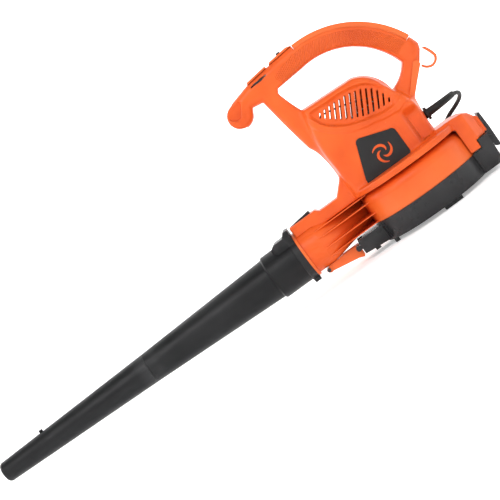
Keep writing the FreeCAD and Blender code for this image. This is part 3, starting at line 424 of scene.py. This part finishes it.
def arc(start, middle, end, step=4.0):
    """Points from start to end on the circle through all three, without start."""
    (ax, ay), (bx, by), (cx, cy) = start, middle, end
    double = 2 * (ax * (by - cy) + bx * (cy - ay) + cx * (ay - by))
    if abs(double) < 1e-9:
        return [middle, end]
    a2, b2, c2 = ax * ax + ay * ay, bx * bx + by * by, cx * cx + cy * cy
    ox = (a2 * (by - cy) + b2 * (cy - ay) + c2 * (ay - by)) / double
    oy = (a2 * (cx - bx) + b2 * (ax - cx) + c2 * (bx - ax)) / double
    radius = math.hypot(ax - ox, ay - oy)
    first = math.atan2(ay - oy, ax - ox)
    to_middle = (math.atan2(by - oy, bx - ox) - first) % (2 * math.pi)
    sweep = (math.atan2(cy - oy, cx - ox) - first) % (2 * math.pi)
    if to_middle > sweep:
        sweep -= 2 * math.pi
    count = max(2, int(abs(sweep) * radius / step))
    turns = [first + sweep * k / count for k in range(1, count + 1)]
    return [(ox + radius * math.cos(t), oy + radius * math.sin(t)) for t in turns]


def outline(start, *steps):
    """Each step is a point (a line to it) or two points (an arc through one to the next)."""
    points = [start]
    for step in steps:
        if isinstance(step[0], tuple):
            points += arc(points[-1], *step)
        else:
            points.append(step)
    return points


def on_arch(radius, degrees):
    angle = math.radians(degrees)
    return (ARCH[0] + radius * math.cos(angle), ARCH[1] + radius * math.sin(angle))


def line_distance(points, x, z, closed=True):
    """Distance to a polyline over a grid, and whether each place is inside it."""
    best = np.full(x.shape, 1e9)
    inside = np.zeros(x.shape, bool)
    ends = list(zip(points, points[1:] + points[:1])) if closed else list(zip(points, points[1:]))
    for (ax, az), (bx, bz) in ends:
        dx, dz = bx - ax, bz - az
        share = ((x - ax) * dx + (z - az) * dz) / max(dx * dx + dz * dz, 1e-12)
        share = np.clip(share, 0, 1)
        best = np.minimum(best, np.hypot(x - ax - share * dx, z - az - share * dz))
        if closed and az != bz:
            crosses = ((az > z) != (bz > z)) & (x < dx * (z - az) / dz + ax)
            inside ^= crosses
    return best, inside


def shape(points, x, z):
    """Signed distance to a closed outline, negative inside."""
    best, inside = line_distance(points, x, z)
    return np.where(inside, -best, best)


def smooth_step(value):
    value = np.clip(value, 0, 1)
    return value * value * (3 - 2 * value)


def joined(a, b, round_off):
    share = np.clip(0.5 + 0.5 * (b - a) / round_off, 0, 1)
    return b + (a - b) * share - round_off * share * (1 - share)


def less(a, b, round_off=0.01):
    """a with b taken away, with a rounded edge."""
    return -joined(-a, b, round_off)


def slab(flat, side, width, edge):
    """A side view pushed out to a half-width, with its edge rounded."""
    across = flat[:, None, :] + edge
    out = np.abs(side)[None, :, None] - (width if np.isscalar(width) else width[:, None, :]) + edge
    corner = np.hypot(np.maximum(across, 0), np.maximum(out, 0))
    return np.minimum(np.maximum(across, out), 0) + corner - edge


def surface_net(field, low, step):
    """A closed mesh of the field's zero surface: one point in each cell that it crosses."""
    inside = field < 0
    shape3 = np.array(field.shape) - 1
    total = np.zeros((*shape3, 3), np.float32)
    count = np.zeros(tuple(shape3), np.int16)
    corners = [(i, j, k) for i in (0, 1) for j in (0, 1) for k in (0, 1)]

    def view(array, corner):
        return array[tuple(slice(c, c + n) for c, n in zip(corner, shape3))]

    for first in corners:
        for axis in range(3):
            if first[axis]:
                continue
            second = tuple(1 if n == axis else c for n, c in enumerate(first))
            a, b = view(field, first), view(field, second)
            crossed = view(inside, first) != view(inside, second)
            share = np.where(crossed, a / np.where(crossed, a - b, 1), 0)
            for n in range(3):
                place = share if n == axis else float(first[n])
                total[..., n] += np.where(crossed, place, 0)
            count += crossed
    active = count > 0
    number = np.full(active.shape, -1, np.int64)
    number[active] = np.arange(active.sum())
    points = total[active] / count[active][:, None] + np.argwhere(active)
    quads = []
    for axis in range(3):
        u, v = [n for n in range(3) if n != axis]
        trim = [slice(1, -1)] * 3
        trim[axis] = slice(0, -1)
        ahead = [slice(1, -1)] * 3
        ahead[axis] = slice(1, None)
        a, b = inside[tuple(trim)], inside[tuple(ahead)]
        cells = np.argwhere(a != b)
        outward = a[tuple(cells.T)]
        base = cells.copy()
        base[:, u] += 1
        base[:, v] += 1
        ring = []
        for du, dv in ((1, 1), (0, 1), (0, 0), (1, 0)):
            cell = base.copy()
            cell[:, u] -= du
            cell[:, v] -= dv
            ring.append(number[tuple(cell.T)])
        ring = np.stack(ring, 1)
        flip = outward if axis != 1 else ~outward
        ring[~flip] = ring[~flip][:, ::-1]
        quads.append(ring)
    return points * step + np.array(low), np.concatenate(quads)


def mesh_object(name, points, faces, material, smooth=True):
    mesh = bpy.data.meshes.new(name)
    if isinstance(faces, np.ndarray):
        faces = faces.tolist()
    mesh.from_pydata((np.asarray(points) * MM).tolist(), [], faces)
    mesh.update()
    if smooth:
        mesh.polygons.foreach_set("use_smooth", [True] * len(mesh.polygons))
    mesh.materials.append(material)
    obj = bpy.data.objects.new(name, mesh)
    bpy.context.scene.collection.objects.link(obj)
    return obj


# ---------------------------------------------------------------- housing


def handle_line():
    low = (NOSE[0] + NOSE_RADIUS * math.cos(math.radians(-25)), NOSE[1] - NOSE_RADIUS * 0.42)
    top = (NOSE[0] - 6, NOSE[1] + NOSE_RADIUS * 0.956)
    return outline(
        (-98, 150), ((-103, 180), (-112, 199)), ((-121, 250), (-128, 300)), (-146, 303), low,
        ((NOSE[0] - NOSE_RADIUS, NOSE[1]), top), (-135, 336.5), (-91, 341.5), on_arch(ARCH_OUTER, 95),
        (on_arch(ARCH_OUTER, 56), on_arch(ARCH_OUTER - 2, 18)), (120, 222), (103, 199), (68, 164),
        (60, 130), (60, 98), (-98, 98),
    )


def tower_line():
    return outline(
        (-97, 92), (-97, 152), ((-96, 205), (-84, 254)), (-2, 250), ((22, 240), (38, 214)),
        (56, 180), (63, 160), (63, 92),
    )


def window_line():
    return outline(
        (-100, 297), ((-94, 276), (-86, 255)), (5, 250), ((27, 238), (48, 196)),
        ((68, 205), (85, 222)), (on_arch(ARCH_INNER, 58), on_arch(ARCH_INNER, 97)), (-96, 304),
    )


def bowl_line():
    """The leaf-shaped floor of the vent recess."""
    return outline(
        (-76, 238), (-47, 236), ((-17, 234.5), (3, 230)), ((18, 222), (28, 209)), ((36, 193), (30, 182)),
        ((14, 181), (-7, 186)), (-37, 197), ((-57, 208), (-70, 222)),
    )


def band_line():
    """The raised band that loops under the vent from the front leg to the rear leg."""
    return outline(
        (-96, 262), ((-88, 232), (-70, 206)), ((-40, 186), (-5, 177)), ((18, 171.5), (36, 170)),
        (54, 176), (80, 198),
    )


def plate_line():
    return outline(
        (-69.5, 99.5), (6.5, 99.5), ((12, 101.5), (13.5, 106.5)), (13.5, 143.5), ((10.5, 149.5), (5.5, 151)),
        (-39.5, 166.5), ((-46.5, 165.5), (-49.5, 160.5)), (-69.5, 107.5),
    )


def teardrop_line():
    return outline(
        (-184, 319), (-159, 324), ((-156.5, 322.5), (-157, 319.5)), (-167, 305), ((-173, 300), (-180, 301.5)),
        ((-185.5, 308), (-184, 319)),
    )


def tower_relief(x, z):
    """Half-width of the tower's side: vent bowl, raised band, plate rim and the hollow neck behind."""
    width = np.full(x.shape, 44.2)
    bowl = shape(bowl_line(), x, z)
    width -= (3.2 + 3.3 * smooth_step((z - 198) / 10)) * (1 - smooth_step(bowl / 9))
    width += 1.2 * np.exp(-((bowl - 7) / 2.2) ** 2)
    band, _ = line_distance(band_line(), x, z, closed=False)
    width += 2.6 * (1 - smooth_step((band - 3.5) / 4))
    plate = shape(plate_line(), x, z)
    width += 0.8 * (1 - smooth_step((plate - 4) / 2.5)) * (z < 172)
    neck = smooth_step((x - 29) / 14) * smooth_step((164 - z) / 16) * smooth_step((z - 99) / 9)
    width -= 15 * neck
    front = smooth_step((-62 - x) / 34)
    return width - 7 * front


def vent_shapes(x, z):
    slots = np.full(x.shape, 1e3)
    for number in range(VENT_SLOTS):
        foot = -71 + 5.6 * number + 0.165 * number**2
        low = 184 + 43 * (max(0, 21 - foot) / 92) ** 2.1
        high = 234 - 33 * (number / (VENT_SLOTS - 2)) ** 3.6
        lean, far = (high - low) * VENT_LEAN, foot + VENT_WIDTH
        points = [(foot, low), (far, low), (far + lean, high), (foot + lean, high)]
        slots = np.minimum(slots, shape(points, x, z))
    return slots


def housing_field(xs, ys, zs):
    """Signed distance of one half of the housing, for side positions from the middle outward."""
    x, z = np.meshgrid(xs, zs, indexing="ij")
    x3, y3, z3 = xs[:, None, None], ys[None, :, None], zs[None, None, :]
    handle_flat = shape(handle_line(), x, z)
    tower_flat = shape(tower_line(), x, z)
    grip = slab(handle_flat, ys, GRIP_WIDTH, 13.0)
    tower = slab(tower_flat, ys, tower_relief(x, z), 11.0)
    solid = joined(grip, tower, 14.0)
    reach = np.hypot(x3, y3)
    level = np.maximum(DECK[0] - z3, z3 - DECK[1])
    past_rim, past_level = reach - DECK_RADIUS + DECK_EDGE, level + DECK_EDGE
    corner = np.hypot(np.maximum(past_rim, 0), np.maximum(past_level, 0))
    disc = np.minimum(np.maximum(past_rim, past_level), 0) + corner - DECK_EDGE
    solid = joined(solid, disc, 6.0)
    block = [
        (84, 43), (104.6, 43), (104.6, 56.6), (124, 56.6), (124, 90), (118, 99), (110, 103.5), (90, 106),
        (60, 106), (60, 92), (84, 92),
    ]
    block_width = REAR_WIDTH - 20 * np.clip((x - 108) / 16, 0, 1)
    solid = joined(solid, slab(shape(block, x, z), ys, block_width, 3.0), 5.0)
    lug = [(123, 58), (129.4, 58), (129.4, 85), (123, 89)]
    solid = joined(solid, slab(shape(lug, x, z), ys, 20, 1.2), 1.5)
    ramp_line = [
        (-212.6, 89.4), (-212.6, 115.5), (-163, 115.5), (-157, 110), (-123, 110), (-97, 137),
        (-90, 137), (-90, 89.4),
    ]
    solid = joined(solid, slab(shape(ramp_line, x, z), ys, 20, 2.5), 5.0)
    return hollowed(solid, x, z, x3, y3, z3, ys)


def hollowed(solid, x, z, x3, y3, z3, ys):
    """The housing's solid with its window, vents, recesses, rooms and ways cut out."""
    solid = less(solid, slab(shape(window_line(), x, z), ys, 90, 0.1), 7.0)
    inner = np.maximum(solid + WALL, slab(shape(tower_line(), x, z) + WALL, ys, 42, 0.1))
    solid = less(solid, inner)
    radius = np.hypot(x - ARCH[0], z - ARCH[1])
    turn = np.degrees(np.arctan2(z - ARCH[1], x - ARCH[0]))
    away = np.maximum(CAP_ENDS[0] - CAP_GAP - turn, turn - CAP_ENDS[1] - CAP_GAP) * radius * math.pi / 180
    seat = np.maximum(CAP_LEVEL - CAP_GAP - radius, away)
    solid = less(solid, slab(seat, ys, CAP_WIDTH + CAP_GAP, 0.1))
    solid = less(solid, slab(vent_shapes(x, z), ys, 90, 0.1), 0.8)
    slit = shape([(-130, 328.6), (-98, 331.4), (-98, 333.8), (-130, 331)], x, z)
    solid = less(solid, slab(slit, ys, 30, 0.1))
    drop = shape(teardrop_line(), x, z)[:, None, :]
    solid = less(solid, np.maximum(drop, 13.0 - y3), 2.0)
    plate = shape(plate_line(), x, z)[:, None, :]
    solid = less(solid, np.maximum(plate, np.maximum(PLATE_SEAT - y3, PLATE_FOOT - z3)))
    for radius_of_room, top_of_room in (CASING_ROOM, SHROUD_ROOM):
        solid = less(solid, np.maximum(np.hypot(x3, y3) - radius_of_room, z3 - top_of_room))
    button = np.maximum(np.maximum(-209 - x3, x3 + 171), np.maximum(y3 - 9.6, 103.4 - z3))
    solid = less(solid, button)
    switch = np.maximum(np.maximum(-77 - x3, x3 + 53), np.maximum(y3 - 4.5, 333 - z3))
    solid = less(solid, switch)
    front, height, bore = CORD_WAY
    cord_way = np.maximum(np.hypot(y3, z3 - height) - bore, front - x3)
    solid = less(solid, cord_way)
    return np.maximum(solid, 0.05 - y3)


def duct_distance(x3, y3, z3, side):
    """Distance to the outlet duct, which narrows and bends to the right as it nears the drum."""
    stations = (-184, -137, -92, -50, -10)
    centre = np.interp(x3, stations, (0, 12, 42, 62, 71.9))
    radius = np.interp(x3, stations, (36.7, 28, 23.3, 22.8, 22.8))
    return np.hypot(y3 - side * centre, z3 - 65.3) - radius - 0.6


def housing(materials):
    """Both halves share one field; each then has the duct's way cut on its own side."""
    xs = np.arange(-216, 133, GRID)
    ys = np.arange(-2 * GRID, 101, GRID)
    zs = np.arange(40, 351, GRID)
    field = housing_field(xs, ys, zs)
    x3, y3, z3 = xs[:, None, None], ys[None, :, None], zs[None, None, :]
    skin = ribbed(materials["orange"])
    for node, side in (("housing_left", -1), ("housing_right", 1)):
        half = less(field, duct_distance(x3, y3, z3, side))
        points, faces = surface_net(half, (xs[0], ys[0], zs[0]), GRID)
        if side < 0:
            points, faces = points * (1, -1, 1), faces[:, ::-1]
        obj = mesh_object(node + "_shell", points, faces, skin)
        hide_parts(node)
        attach(obj, "body")


def emblems(materials):
    """A plain swirl of three blades on each nameplate."""
    steps = 14
    for name, side in (("left", -1), ("right", 1)):
        points, faces = [], []
        for blade in range(3):
            start = len(points)
            for step in range(steps + 1):
                share = step / steps
                turn = math.radians(120 * blade + 150 * share)
                half = 2.4 * math.sin(math.pi * (0.08 + 0.84 * share))
                for depth in (44.6, 45.6):
                    for reach in (5 + 12 * share - half, 5 + 12 * share + half):
                        across, up = reach * math.cos(turn), reach * math.sin(turn)
                        points.append((EMBLEM[0] + across, side * depth, EMBLEM[1] + up))
            for step in range(steps):
                a = start + 4 * step
                for p, q in ((0, 1), (1, 3), (3, 2), (2, 0)):
                    faces.append((a + p, a + q, a + 4 + q, a + 4 + p))
            faces.append((start, start + 2, start + 3, start + 1))
            last = start + 4 * steps
            faces.append((last, last + 1, last + 3, last + 2))
        if side > 0:
            faces = [face[::-1] for face in faces]
        obj = mesh_object("emblem_" + name, points, faces, materials["orange"], smooth=False)
        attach(obj, "body")


def release_coil(materials):
    """The spring under the release button."""
    foot, length, radius, wire, turns, sides, count = 104, 5.8, 4.2, 0.35, 5.8 / 1.4, 8, 100
    points, faces = [], []
    for step in range(count + 1):
        turn = 2 * math.pi * turns * step / count
        for number in range(sides):
            round_wire = 2 * math.pi * number / sides
            reach = radius + wire * math.cos(round_wire)
            height = foot + length * step / count + wire * math.sin(round_wire)
            points.append((-190 + reach * math.cos(turn), reach * math.sin(turn), height))
    for step in range(count):
        for number in range(sides):
            a, b = step * sides + number, step * sides + (number + 1) % sides
            faces.append((a, b, b + sides, a + sides))
    faces.append(tuple(reversed(range(sides))))
    faces.append(tuple(range(count * sides, (count + 1) * sides)))
    coil = mesh_object("release_coil", points, faces, materials["steel"])
    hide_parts("release_spring")
    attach(coil, "body")
    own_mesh(coil)


# ---------------------------------------------------------------- cord


def cord(materials):
    curve = bpy.data.curves.new("flex", "CURVE")
    curve.dimensions = "3D"
    curve.bevel_depth = CORD_DIAMETER / 2
    curve.bevel_resolution = 6
    curve.resolution_u = 8
    curve.use_fill_caps = True
    spline = curve.splines.new("NURBS")
    spline.points.add(len(CORD_ROUTE) - 1)
    for point, place in zip(spline.points, CORD_ROUTE):
        point.co = (*place, 1)
    spline.order_u = 3
    spline.use_endpoint_u = True
    curve.materials.append(materials["rubber"])
    flex = bpy.data.objects.new("flex", curve)
    bpy.context.scene.collection.objects.link(flex)
    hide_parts("power_cord")
    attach(flex, "body")


# ---------------------------------------------------------------- build

camera()
materials = make_materials()
dress_nodes(materials)
cord(materials)
lights()
floor()
housing(materials)
emblems(materials)
release_coil(materials)
